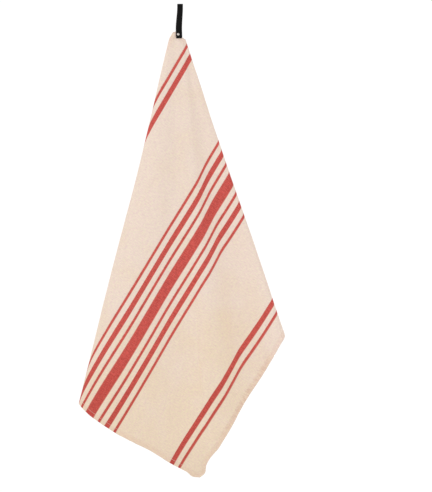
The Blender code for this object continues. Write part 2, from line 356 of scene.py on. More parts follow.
# ---- finishes --------------------------------------------------------------------------------
@dataclass(frozen=True)
class WovenCottonLinen:
    """Plain-woven, yarn-dyed cotton and linen.

    Matt with a faint fuzz, warm off-white with brick-red warp stripes. The cotton is a little
    pink and the linen a little grey-green, so the ground is finely flecked. It is creamier and
    darker towards the bottom hem, partly its own tone and partly painted shade for the light that
    falls off downwards; painted shade also deepens the red there and darkens the lowest corner,
    and soft patches of painted shade and painted light follow the folds. Uneven linen yarns leave
    short slubs along both threads, and pale weft dots lighten the red.
    """

    ground: str = "#EEDBCF"
    ground_warm: str = "#E9D3B7"
    linen: str = "#E0D7B8"
    cotton: str = "#F6D9D2"
    # Unit vector in (u, v) that points down the wall as the towel hangs.
    hanging_down: tuple[float, float, float] = (0.508, 0.862, 0.0)
    # Creamier and darker towards the bottom hem: partly the cloth's own tone, partly painted shade.
    warm_from: float = 430.0
    warm_to: float = 800.0
    warm_range: tuple[float, float] = (-0.7, 0.25)
    patch_warmth: float = 1.5
    # Painted shade: the lowest corner is a little darker, where less light reaches it.
    tip_painted_shade_from: float = 810.0
    tip_painted_shade_to: float = 895.0
    tip_painted_shade_depth: float = 0.14
    red: str = "#D24C45"
    red_deep: str = "#B8362F"
    # Painted shade: the red is deeper towards the bottom hem, where less light falls.
    red_shade_from: float = 620.0
    red_shade_to: float = 770.0
    red_shade_share: float = 0.35
    thread: str = "#F4E6D6"
    # The real yarns lie about 0.6 mm apart; drawn at 1.1 mm so that the weave shows close up.
    yarn_pitch: float = 1.1
    # Real flecks are a yarn or two wide; drawn 2.2 mm wide so that they show.
    fleck_length: float = 5.2
    fleck_width: float = 2.2
    fleck_share: float = 0.42
    # Share of the ground's colour where a weft yarn lies over the red warp.
    weft_dot_share: float = 0.28
    stripe_edge: float = 0.35
    stripe_waver: float = 1.2
    slub_length: float = 11.0
    slub_width: float = 1.5
    patch_size: float = 55.0
    hem_width: float = 10.0
    # Share of red, green and blue that the hem keeps.
    hem_tone: tuple[float, float, float] = (0.985, 0.945, 0.935)
    # Painted shade in the tucks that the sewing draws across the hem, most about the middle of the
    # far edge, given as flat (u, v) in metres, and the share of each colour that the shade keeps.
    tuck_length: float = 15.0
    tuck_width: float = 4.2
    tuck_shade_tone: tuple[float, float, float] = (0.93, 0.87, 0.87)
    tuck_middle: tuple[float, float, float] = (0.495, 0.560, 0.0)
    tuck_reach: float = 135.0
    stitch_line: float = 8.6
    stitch_width: float = 0.8
    stitch_pitch: float = 3.2
    middle_u: float = 250.0
    pattern_span: float = 256.0
    # Share of the thread's colour on a stitch, and its share of the relief.
    stitch_share: float = 0.6
    stitch_relief: float = 0.7
    crown_relief: float = 0.45
    # The step beside the hem: a soft rise on the right side, a folded edge on the wrong side.
    right_step: float = 1.0
    wrong_step: float = -1.6
    relief_strength: float = 0.55
    relief_depth: float = 0.5
    roughness: float = 0.93
    sheen: float = 0.12

    def dress(self, side: ClothSide) -> bpy.types.Material:
        """Make the material for one side of the cloth.

        Args:
            side: which side of the cloth the material is for.

        Returns:
            The material, which reads the UV maps named pattern and hem.
        """
        made, tree, shader = new_material(f"woven_cotton_linen_{side.value}_side")
        pattern = add_node(tree, "ShaderNodeUVMap", {"uv_map": "pattern"}).outputs["UV"]
        hem = add_node(tree, "ShaderNodeUVMap", {"uv_map": "hem"}).outputs["UV"]
        flat = add_node(tree, "ShaderNodeSeparateXYZ", links={0: pattern})
        edge = add_node(tree, "ShaderNodeSeparateXYZ", links={0: hem})
        slubs = self._slubs(tree, pattern)
        weave = self._weave(tree, flat)
        stitches = self._stitches(tree, edge)
        colour = self._colour(tree, pattern, flat, slubs, weave)
        colour = self._hem_colour(tree, colour, hem, edge, pattern, stitches)
        height = self._height(tree, weave, slubs, stitches, edge, side)
        bump = add_node(
            tree, "ShaderNodeBump", values={
                "Strength": self.relief_strength, "Distance": self.relief_depth * MM,
            }, links={"Height": height},
        )
        tree.links.new(colour, shader.inputs["Base Color"])
        tree.links.new(bump.outputs["Normal"], shader.inputs["Normal"])
        shader.inputs["Roughness"].default_value = self.roughness
        shader.inputs["IOR"].default_value = 1.5
        shader.inputs["Specular IOR Level"].default_value = 0.3
        shader.inputs["Sheen Weight"].default_value = self.sheen
        shader.inputs["Sheen Roughness"].default_value = 0.6
        shader.inputs["Sheen Tint"].default_value = linear(self.ground)
        return made

    def _slubs(
        self, tree: bpy.types.NodeTree, pattern: bpy.types.NodeSocket
    ) -> bpy.types.NodeSocket:
        """Draw the short thick places of uneven yarns.

        Args:
            tree: the material's node tree.
            pattern: distances across and along the stripes.

        Returns:
            Slubs along the weft and the warp, as one value round 0.5.
        """
        parts = []
        for along_u in (True, False):
            long_way = 1.0 / (self.slub_length * MM)
            thin_way = 1.0 / (self.slub_width * MM)
            scale = (long_way, thin_way, 1.0) if along_u else (thin_way, long_way, 1.0)
            placed = add_node(
                tree, "ShaderNodeMapping", values={"Scale": scale}, links={"Vector": pattern},
            )
            cloud = add_node(
                tree, "ShaderNodeTexNoise", {"noise_dimensions": "2D"},
                {"Scale": 1.0, "Detail": 2.0, "Roughness": 0.6},
                {"Vector": placed.outputs["Vector"]},
            )
            parts.append(cloud.outputs["Fac"])
        weft_share = 0.6
        mixed = add_node(
            tree, "ShaderNodeMix", {"data_type": "FLOAT"}, {"Factor": weft_share},
            {"A": parts[1], "B": parts[0]},
        )
        return mixed.outputs["Result"]

    def _weave(self, tree: bpy.types.NodeTree, flat: bpy.types.Node) -> bpy.types.NodeSocket:
        """Draw the plain weave.

        Args:
            tree: the material's node tree.
            flat: distances across and along the stripes, apart.

        Returns:
            Plus where a warp yarn is on top, minus where a weft yarn is.
        """
        waves = []
        for axis in ("X", "Y"):
            turn = add_node(
                tree, "ShaderNodeMath", {"operation": "MULTIPLY"},
                {1: math.pi / (self.yarn_pitch * MM)}, {0: flat.outputs[axis]},
            )
            wave = add_node(
                tree, "ShaderNodeMath", {"operation": "SINE"}, links={0: turn.outputs[0]},
            )
            waves.append(wave.outputs[0])
        both = add_node(
            tree, "ShaderNodeMath", {"operation": "MULTIPLY"}, links={0: waves[0], 1: waves[1]},
        )
        return both.outputs[0]

    def _stripe_mask(
        self, tree: bpy.types.NodeTree, flat: bpy.types.Node, slubs: bpy.types.NodeSocket
    ) -> bpy.types.NodeSocket:
        """Lay out the stripes of the warp.

        Args:
            tree: the material's node tree.
            flat: distances across and along the stripes, apart.
            slubs: uneven yarns, round 0.5.

        Returns:
            1 on the red warp and 0 on the ground, with edges that waver by part of a yarn.
        """
        waver = add_node(
            tree, "ShaderNodeMath", {"operation": "MULTIPLY_ADD"},
            {1: self.stripe_waver * MM, 2: -(self.middle_u + self.stripe_waver / 2) * MM},
            {0: slubs},
        )
        from_middle = add_node(
            tree, "ShaderNodeMath", {"operation": "ADD"},
            links={0: flat.outputs["X"], 1: waver.outputs[0]},
        )
        distance = add_node(
            tree, "ShaderNodeMath", {"operation": "ABSOLUTE"}, links={0: from_middle.outputs[0]},
        )
        share = add_node(
            tree, "ShaderNodeMath", {"operation": "DIVIDE"}, {1: self.pattern_span * MM},
            {0: distance.outputs[0]},
        )
        ramp = add_node(tree, "ShaderNodeValToRGB", links={"Fac": share.outputs[0]})
        stops = ramp.color_ramp
        stops.interpolation = "LINEAR"
        marks: list[tuple[float, float]] = []
        for stripe in STRIPES:
            inner, outer = stripe.offset - stripe.width / 2, stripe.offset + stripe.width / 2
            if inner > 0.0:
                marks += [(inner - self.stripe_edge, 0.0), (inner + self.stripe_edge, 1.0)]
            marks += [(outer - self.stripe_edge, 1.0), (outer + self.stripe_edge, 0.0)]
        while len(stops.elements) < len(marks):
            stops.elements.new(1.0)
        for stop, (distance_mm, level) in zip(stops.elements, marks):
            stop.position = distance_mm / self.pattern_span
            stop.color = (level, level, level, 1.0)
        return ramp.outputs["Color"]

    def _colour(
        self, tree: bpy.types.NodeTree, pattern: bpy.types.NodeSocket, flat: bpy.types.Node,
        slubs: bpy.types.NodeSocket, weave: bpy.types.NodeSocket,
    ) -> bpy.types.NodeSocket:
        """Colour the yarns: flecked ground, striped warp, pale weft dots and darker slubs, with
        painted shade towards the bottom hem and at the lowest corner, and patches of painted shade
        and light.

        Args:
            tree: the material's node tree.
            pattern: distances across and along the stripes.
            flat: the same two distances, apart.
            slubs: uneven yarns, round 0.5.
            weave: plus where a warp yarn is on top, minus where a weft yarn is.

        Returns:
            Colour of the woven cloth, without hems and stitches.
        """
        patches = add_node(
            tree, "ShaderNodeTexNoise", {"noise_dimensions": "2D"},
            {"Scale": 1.0 / (self.patch_size * MM), "Detail": 3.0, "Roughness": 0.55},
            {"Vector": pattern},
        )
        downward = add_node(
            tree, "ShaderNodeVectorMath", {"operation": "DOT_PRODUCT"}, {1: self.hanging_down},
            {0: pattern},
        )
        # Partly painted shade: creamier and darker towards the bottom hem.
        creamier_and_shaded = add_node(
            tree, "ShaderNodeMapRange", {"interpolation_type": "SMOOTHSTEP"},
            {
                "From Min": self.warm_from * MM, "From Max": self.warm_to * MM,
                "To Min": self.warm_range[0], "To Max": self.warm_range[1],
            }, {"Value": downward.outputs["Value"]},
        )
        warmer = creamier_and_shaded.outputs["Result"]
        # Soft patches of painted shade and painted light where the folds are shaded and lit.
        for tone in TONES:
            off_middle = add_node(
                tree, "ShaderNodeVectorMath", {"operation": "DISTANCE"},
                {1: (tone.u * MM, tone.v * MM, 0.0)}, {0: pattern},
            )
            change = add_node(
                tree, "ShaderNodeMapRange", {"interpolation_type": "SMOOTHSTEP"},
                {"From Min": tone.reach * MM, "From Max": 0.0, "To Max": tone.warmth},
                {"Value": off_middle.outputs["Value"]},
            )
            both = add_node(
                tree, "ShaderNodeMath", {"operation": "ADD"},
                links={0: warmer, 1: change.outputs["Result"]},
            )
            warmer = both.outputs[0]
        warmth = add_node(
            tree, "ShaderNodeMath", {"operation": "MULTIPLY_ADD", "use_clamp": True},
            {1: self.patch_warmth}, {0: patches.outputs["Fac"], 2: warmer},
        )
        plain = add_node(
            tree, "ShaderNodeMix", {"data_type": "RGBA"},
            {"A": linear(self.ground), "B": linear(self.ground_warm)},
            {"Factor": warmth.outputs[0]},
        )
        fleck_scale = (1.0 / (self.fleck_length * MM), 1.0 / (self.fleck_width * MM), 1.0)
        placed = add_node(
            tree, "ShaderNodeMapping", values={"Scale": fleck_scale}, links={"Vector": pattern},
        )
        flecks = add_node(
            tree, "ShaderNodeTexNoise", {"noise_dimensions": "2D"},
            {"Scale": 1.0, "Detail": 1.0, "Roughness": 0.5}, {"Vector": placed.outputs["Vector"]},
        )
        cotton_share = add_node(
            tree, "ShaderNodeMapRange", values={"From Min": 0.32, "From Max": 0.68},
            links={"Value": flecks.outputs["Fac"]},
        )
        fibre = add_node(
            tree, "ShaderNodeMix", {"data_type": "RGBA"},
            {"A": linear(self.linen), "B": linear(self.cotton)},
            {"Factor": cotton_share.outputs["Result"]},
        )
        ground = add_node(
            tree, "ShaderNodeMix", {"data_type": "RGBA"}, {"Factor": self.fleck_share},
            {"A": plain.outputs["Result"], "B": fibre.outputs["Result"]},
        )
        weft_dots = add_node(
            tree, "ShaderNodeMapRange", {"interpolation_type": "SMOOTHSTEP"},
            {"From Min": -0.2, "From Max": -0.9, "To Min": 0.0, "To Max": self.weft_dot_share},
            {"Value": weave},
        )
        dye_and_shade_depth = add_node(
            tree, "ShaderNodeMapRange", values={"From Min": 0.36, "From Max": 0.64},
            links={"Value": slubs},
        )
        # Painted shade: the red deepens towards the bottom hem.
        red_painted_shade = add_node(
            tree, "ShaderNodeMapRange", {"interpolation_type": "SMOOTHSTEP"},
            {
                "From Min": self.red_shade_from * MM, "From Max": self.red_shade_to * MM,
                "To Max": self.red_shade_share,
            }, {"Value": downward.outputs["Value"]},
        )
        # The yarns' own uneven dye together with the red's painted shade.
        dye_and_shade_depth = add_node(
            tree, "ShaderNodeMath", {"operation": "ADD", "use_clamp": True},
            links={0: dye_and_shade_depth.outputs["Result"], 1: red_painted_shade.outputs["Result"]},
        )
        red = add_node(
            tree, "ShaderNodeMix", {"data_type": "RGBA"},
            {"A": linear(self.red), "B": linear(self.red_deep)},
            {"Factor": dye_and_shade_depth.outputs[0]},
        )
        red_woven = add_node(
            tree, "ShaderNodeMix", {"data_type": "RGBA"},
            links={
                "Factor": weft_dots.outputs["Result"], "A": red.outputs["Result"],
                "B": ground.outputs["Result"],
            },
        )
        striped = add_node(
            tree, "ShaderNodeMix", {"data_type": "RGBA"},
            links={
                "Factor": self._stripe_mask(tree, flat, slubs), "A": ground.outputs["Result"],
                "B": red_woven.outputs["Result"],
            },
        )
        # Painted shade: the cloth darkens towards the lowest corner.
        tip_painted_shade = add_node(
            tree, "ShaderNodeMapRange", {"interpolation_type": "SMOOTHSTEP"},
            {
                "From Min": self.tip_painted_shade_from * MM, "From Max": self.tip_painted_shade_to * MM,
                "To Min": 0.0, "To Max": self.tip_painted_shade_depth,
            }, {"Value": downward.outputs["Value"]},
        )
        uneven = add_node(
            tree, "ShaderNodeMath", {"operation": "ADD"},
            links={0: slubs, 1: flecks.outputs["Fac"]},
        )
        # Adds the lowest corner's painted shade to the yarns' unevenness.
        uneven = add_node(
            tree, "ShaderNodeMath", {"operation": "ADD"},
            links={0: uneven.outputs[0], 1: tip_painted_shade.outputs["Result"]},
        )
        shade = add_node(
            tree, "ShaderNodeMapRange", values={
                "From Min": 0.6, "From Max": 1.4, "To Min": 1.12, "To Max": 0.88,
            }, links={"Value": uneven.outputs[0]},
        )
        speckled = add_node(
            tree, "ShaderNodeVectorMath", {"operation": "SCALE"},
            links={"Vector": striped.outputs["Result"], "Scale": shade.outputs["Result"]},
        )
        return speckled.outputs["Vector"]

    def _stitches(self, tree: bpy.types.NodeTree, edge: bpy.types.Node) -> bpy.types.NodeSocket:
        """Sew the hem's line of lockstitches.

        Args:
            tree: the material's node tree.
            edge: distance from the nearest edge and along it, apart.

        Returns:
            1 on the stitches, 0 elsewhere.
        """
        off_line = add_node(
            tree, "ShaderNodeMath", {"operation": "SUBTRACT"}, {1: self.stitch_line * MM},
            {0: edge.outputs["X"]},
        )
        off_line = add_node(
            tree, "ShaderNodeMath", {"operation": "ABSOLUTE"}, links={0: off_line.outputs[0]},
        )
        on_line = add_node(
            tree, "ShaderNodeMapRange", {"interpolation_type": "SMOOTHSTEP"},
            {"From Min": self.stitch_width / 2 * MM, "From Max": self.stitch_width / 4 * MM},
            {"Value": off_line.outputs[0]},
        )
        along = add_node(
            tree, "ShaderNodeMath", {"operation": "MULTIPLY"},
            {1: math.tau / (self.stitch_pitch * MM)}, {0: edge.outputs["Y"]},
        )
        beat = add_node(
            tree, "ShaderNodeMath", {"operation": "SINE"}, links={0: along.outputs[0]},
        )
        between_holes = add_node(
            tree, "ShaderNodeMapRange", {"interpolation_type": "SMOOTHSTEP"},
            {"From Min": -0.95, "From Max": -0.6}, {"Value": beat.outputs[0]},
        )
        both = add_node(
            tree, "ShaderNodeMath", {"operation": "MULTIPLY"},
            links={0: on_line.outputs["Result"], 1: between_holes.outputs["Result"]},
        )
        return both.outputs[0]

    def _hem_colour(
        self, tree: bpy.types.NodeTree, colour: bpy.types.NodeSocket,
        hem: bpy.types.NodeSocket, edge: bpy.types.Node, pattern: bpy.types.NodeSocket,
        stitches: bpy.types.NodeSocket,
    ) -> bpy.types.NodeSocket:
        """Deepen the hem, paint shade into its small tucks, and lay the stitches over it.

        Args:
            tree: the material's node tree.
            colour: colour of the woven cloth.
            hem: distance from the nearest edge, and along it.
            edge: the same two distances, apart.
            pattern: distances across and along the stripes.
            stitches: 1 on the stitches.

        Returns:
            Colour of the sewn cloth. The hem's three layers pass less light than one, so it is a
            little deeper and rosier.
        """
        single = add_node(
            tree, "ShaderNodeMapRange", {"interpolation_type": "SMOOTHSTEP"},
            {"From Min": (self.hem_width - 0.5) * MM, "From Max": (self.hem_width + 0.8) * MM},
            {"Value": edge.outputs["X"]},
        )
        layered = add_node(
            tree, "ShaderNodeVectorMath", {"operation": "MULTIPLY"}, {1: self.hem_tone},
            {0: colour},
        )
        deeper = add_node(
            tree, "ShaderNodeMix", {"data_type": "RGBA"},
            links={"Factor": single.outputs["Result"], "A": layered.outputs["Vector"], "B": colour},
        )
        # Painted shade in the hem's small tucks.
        tuck_scale = (1.0 / (self.tuck_length * MM), 1.0 / (self.tuck_width * MM), 1.0)
        placed = add_node(
            tree, "ShaderNodeMapping", values={"Scale": tuck_scale}, links={"Vector": hem},
        )
        tucks = add_node(
            tree, "ShaderNodeTexNoise", {"noise_dimensions": "2D"},
            {"Scale": 1.0, "Detail": 1.0, "Roughness": 0.5}, {"Vector": placed.outputs["Vector"]},
        )
        on_hem = add_node(
            tree, "ShaderNodeMapRange", {"interpolation_type": "SMOOTHSTEP"},
            {
                "From Min": (self.hem_width + 3.0) * MM, "From Max": self.hem_width * MM,
            }, {"Value": edge.outputs["X"]},
        )
        depth = add_node(
            tree, "ShaderNodeMapRange", values={"From Min": 0.42, "From Max": 0.60},
            links={"Value": tucks.outputs["Fac"]},
        )
        off_middle = add_node(
            tree, "ShaderNodeVectorMath", {"operation": "DISTANCE"}, {1: self.tuck_middle},
            {0: pattern},
        )
        near_middle = add_node(
            tree, "ShaderNodeMapRange", {"interpolation_type": "SMOOTHSTEP"},
            {
                "From Min": self.tuck_reach * MM, "From Max": self.tuck_reach / 3.0 * MM,
                "To Min": 0.1,
            }, {"Value": off_middle.outputs["Value"]},
        )
        share = add_node(
            tree, "ShaderNodeMath", {"operation": "MULTIPLY"},
            links={0: depth.outputs["Result"], 1: on_hem.outputs["Result"]},
        )
        share = add_node(
            tree, "ShaderNodeMath", {"operation": "MULTIPLY"},
            links={0: share.outputs[0], 1: near_middle.outputs["Result"]},
        )
        shaded_tucks = add_node(
            tree, "ShaderNodeVectorMath", {"operation": "MULTIPLY"}, {1: self.tuck_shade_tone},
            {0: deeper.outputs["Result"]},
        )
        tuck_shaded = add_node(
            tree, "ShaderNodeMix", {"data_type": "RGBA"},
            links={
                "Factor": share.outputs[0], "A": deeper.outputs["Result"],
                "B": shaded_tucks.outputs["Vector"],
            },
        )
        sewn_share = add_node(
            tree, "ShaderNodeMath", {"operation": "MULTIPLY"}, {1: self.stitch_share},
            {0: stitches},
        )
        sewn = add_node(
            tree, "ShaderNodeMix", {"data_type": "RGBA"}, {"B": linear(self.thread)},
            {"Factor": sewn_share.outputs[0], "A": tuck_shaded.outputs["Result"]},
        )
        return sewn.outputs["Result"]

    def _height(
        self, tree: bpy.types.NodeTree, weave: bpy.types.NodeSocket,
        slubs: bpy.types.NodeSocket, stitches: bpy.types.NodeSocket, edge: bpy.types.Node,
        side: ClothSide,
    ) -> bpy.types.NodeSocket:
        """Work out the fine relief of the cloth.

        Args:
            tree: the material's node tree.
            weave: plus where a warp yarn is on top, minus where a weft yarn is.
            slubs: uneven yarns, round 0.5.
            stitches: 1 on the stitches.
            edge: distance from the nearest edge and along it, apart.
            side: which side of the cloth the relief is for.

        Returns:
            Height of yarns, slubs, the stitch line and the step beside the hem.
        """
        crowns = add_node(
            tree, "ShaderNodeMath", {"operation": "ABSOLUTE"}, links={0: weave},
        )
        yarns = add_node(
            tree, "ShaderNodeMath", {"operation": "MULTIPLY_ADD"}, {1: self.crown_relief},
            {0: crowns.outputs[0], 2: slubs},
        )
        groove = add_node(
            tree, "ShaderNodeMapRange", {"interpolation_type": "SMOOTHSTEP"},
            {
                "From Min": (self.stitch_line - 1.4) * MM, "From Max": self.stitch_line * MM,
                "To Min": 0.0, "To Max": -1.0,
            }, {"Value": edge.outputs["X"]},
        )
        rise = add_node(
            tree, "ShaderNodeMapRange", {"interpolation_type": "SMOOTHSTEP"},
            {
                "From Min": self.stitch_line * MM, "From Max": (self.hem_width + 1.2) * MM,
                "To Min": 0.0,
                "To Max": self.right_step if side is ClothSide.RIGHT else self.wrong_step,
            }, {"Value": edge.outputs["X"]},
        )
        seam = add_node(
            tree, "ShaderNodeMath", {"operation": "ADD"},
            links={0: groove.outputs["Result"], 1: rise.outputs["Result"]},
        )
        thread = add_node(
            tree, "ShaderNodeMath", {"operation": "MULTIPLY_ADD"}, {1: self.stitch_relief},
            {0: stitches, 2: seam.outputs[0]},
        )
        total = add_node(
            tree, "ShaderNodeMath", {"operation": "ADD"},
            links={0: yarns.outputs[0], 1: thread.outputs[0]},
        )
        return total.outputs[0]


@dataclass(frozen=True)
class BlackLeather:
    """Drum-dyed, finished leather: near-black, semi-matt, with a fine pebbled grain, and lighter
    lengthwise streaks that are partly wear and partly painted sheen.
    """

    face: str = "#0A0A0A"
    # Lighter lengthwise streaks: partly wear along the creases, partly painted sheen.
    worn_and_sheen: str = "#161414"
    # The real pebbles are about 0.5 mm across; drawn at 0.8 mm so that the grain shows.
    grain: float = 0.8
    crease: float = 6.0
    roughness: float = 0.5
    # Waxed and dull, it sends back little of the white surroundings.
    gloss: float = 0.1

    def dress(self) -> bpy.types.Material:
        """Make the material.

        Returns:
            The material, on Object coordinates.
        """
        made, tree, shader = new_material("black_finished_leather")
        place = add_node(tree, "ShaderNodeTexCoord").outputs["Object"]
        pebbles = add_node(
            tree, "ShaderNodeTexVoronoi", {"feature": "DISTANCE_TO_EDGE"},
            {"Scale": 1.0 / (self.grain * MM), "Randomness": 0.95}, {"Vector": place},
        )
        stretched = add_node(
            tree, "ShaderNodeMapping", values={
                "Scale": (1.0 / (2.0 * MM), 1.0 / (2.0 * MM), 1.0 / (self.crease * 3.0 * MM)),
            }, links={"Vector": place},
        )
        creases = add_node(
            tree, "ShaderNodeTexNoise", values={"Scale": 1.0, "Detail": 4.0, "Roughness": 0.6},
            links={"Vector": stretched.outputs["Vector"]},
        )
        # Lighter streaks along the strap: partly wear, partly painted sheen.
        tone = add_node(
            tree, "ShaderNodeMapRange", values={"From Min": 0.45, "From Max": 0.75},
            links={"Value": creases.outputs["Fac"]},
        )
        colour = add_node(
            tree, "ShaderNodeMix", {"data_type": "RGBA"},
            {"A": linear(self.face), "B": linear(self.worn_and_sheen)}, {"Factor": tone.outputs["Result"]},
        )
        polish = add_node(
            tree, "ShaderNodeMapRange", values={
                "From Min": 0.3, "From Max": 0.7, "To Min": self.roughness - 0.08,
                "To Max": self.roughness + 0.14,
            }, links={"Value": creases.outputs["Fac"]},
        )
        flatter = add_node(
            tree, "ShaderNodeMapRange", {"interpolation_type": "SMOOTHSTEP"},
            {"From Min": 0.0, "From Max": 0.25}, {"Value": pebbles.outputs["Distance"]},
        )
        relief = add_node(
            tree, "ShaderNodeMath", {"operation": "ADD"},
            links={0: flatter.outputs["Result"], 1: creases.outputs["Fac"]},
        )
        bump = add_node(
            tree, "ShaderNodeBump", values={"Strength": 0.35, "Distance": 0.00012},
            links={"Height": relief.outputs[0]},
        )
        tree.links.new(colour.outputs["Result"], shader.inputs["Base Color"])
        tree.links.new(polish.outputs["Result"], shader.inputs["Roughness"])
        tree.links.new(bump.outputs["Normal"], shader.inputs["Normal"])
        shader.inputs["IOR"].default_value = 1.5
        shader.inputs["Specular IOR Level"].default_value = self.gloss
        return made


@dataclass(frozen=True)
class CutLeatherEdge:
    """Dyed cut edge of the strap: the fibres show through the dye as a plum-brown."""

    dye: str = "#2A1A24"
    fibre: str = "#3D2A33"
    fibre_size: float = 0.5
    roughness: float = 0.75

    def dress(self) -> bpy.types.Material:
        """Make the material.

        Returns:
            The material, on Object coordinates.
        """
        made, tree, shader = new_material("dyed_leather_edge")
        place = add_node(tree, "ShaderNodeTexCoord").outputs["Object"]
        fibres = add_node(
            tree, "ShaderNodeTexNoise", values={
                "Scale": 1.0 / (self.fibre_size * MM), "Detail": 3.0, "Roughness": 0.7,
            }, links={"Vector": place},
        )
        colour = add_node(
            tree, "ShaderNodeMix", {"data_type": "RGBA"},
            {"A": linear(self.dye), "B": linear(self.fibre)}, {"Factor": fibres.outputs["Fac"]},
        )
        bump = add_node(
            tree, "ShaderNodeBump", values={"Strength": 0.4, "Distance": 0.0001},
            links={"Height": fibres.outputs["Fac"]},
        )
        tree.links.new(colour.outputs["Result"], shader.inputs["Base Color"])
        tree.links.new(bump.outputs["Normal"], shader.inputs["Normal"])
        shader.inputs["Roughness"].default_value = self.roughness
        shader.inputs["IOR"].default_value = 1.5
        return made


@dataclass(frozen=True)
class PlatedSteel:
    """Nickel-plated steel: bright, slightly warm, with hair scratches that soften its gloss."""

    plate: str = "#E4E0DC"
    dull: str = "#B9AFA8"
    scratch: float = 0.12
    roughness: float = 0.24

    def dress(self) -> bpy.types.Material:
        """Make the material.

        Returns:
            The material, on Object coordinates.
        """
        made, tree, shader = new_material("nickel_plated_steel")
        place = add_node(tree, "ShaderNodeTexCoord").outputs["Object"]
        stretched = add_node(
            tree, "ShaderNodeMapping", values={
                "Scale": (1.0 / (self.scratch * MM), 1.0 / MM, 1.0 / (self.scratch * 9.0 * MM)),
                "Rotation": (0.0, 0.6, 0.0),
            }, links={"Vector": place},
        )
        hairs = add_node(
            tree, "ShaderNodeTexNoise", values={"Scale": 1.0, "Detail": 3.0, "Roughness": 0.6},
            links={"Vector": stretched.outputs["Vector"]},
        )
        gloss = add_node(
            tree, "ShaderNodeMapRange", values={
                "From Min": 0.3, "From Max": 0.7, "To Min": self.roughness - 0.06,
                "To Max": self.roughness + 0.12,
            }, links={"Value": hairs.outputs["Fac"]},
        )
        colour = add_node(
            tree, "ShaderNodeMix", {"data_type": "RGBA"},
            {"A": linear(self.plate), "B": linear(self.dull)}, {"Factor": hairs.outputs["Fac"]},
        )
        tree.links.new(colour.outputs["Result"], shader.inputs["Base Color"])
        tree.links.new(gloss.outputs["Result"], shader.inputs["Roughness"])
        shader.inputs["Metallic"].default_value = 1.0
        return made


@dataclass(frozen=True)
class MattPaper:
    """Seamless background paper: plain, pale and matt."""

    tone: str = "#F6F5F3"

    def dress(self) -> bpy.types.Material:
        """Make the material.

        Returns:
            The material, the same all over.
        """
        made, _, shader = new_material("matt_background_paper")
        shader.inputs["Base Color"].default_value = linear(self.tone)
        shader.inputs["Roughness"].default_value = 0.9
        shader.inputs["Specular IOR Level"].default_value = 0.1
        return made


# ---- the towel -------------------------------------------------------------------------------
@dataclass(frozen=True)
class BendLine:
    """A bend line: its places on the two rims and how far the cloth turns at it."""

    top: float
    bottom: float
    turn: float


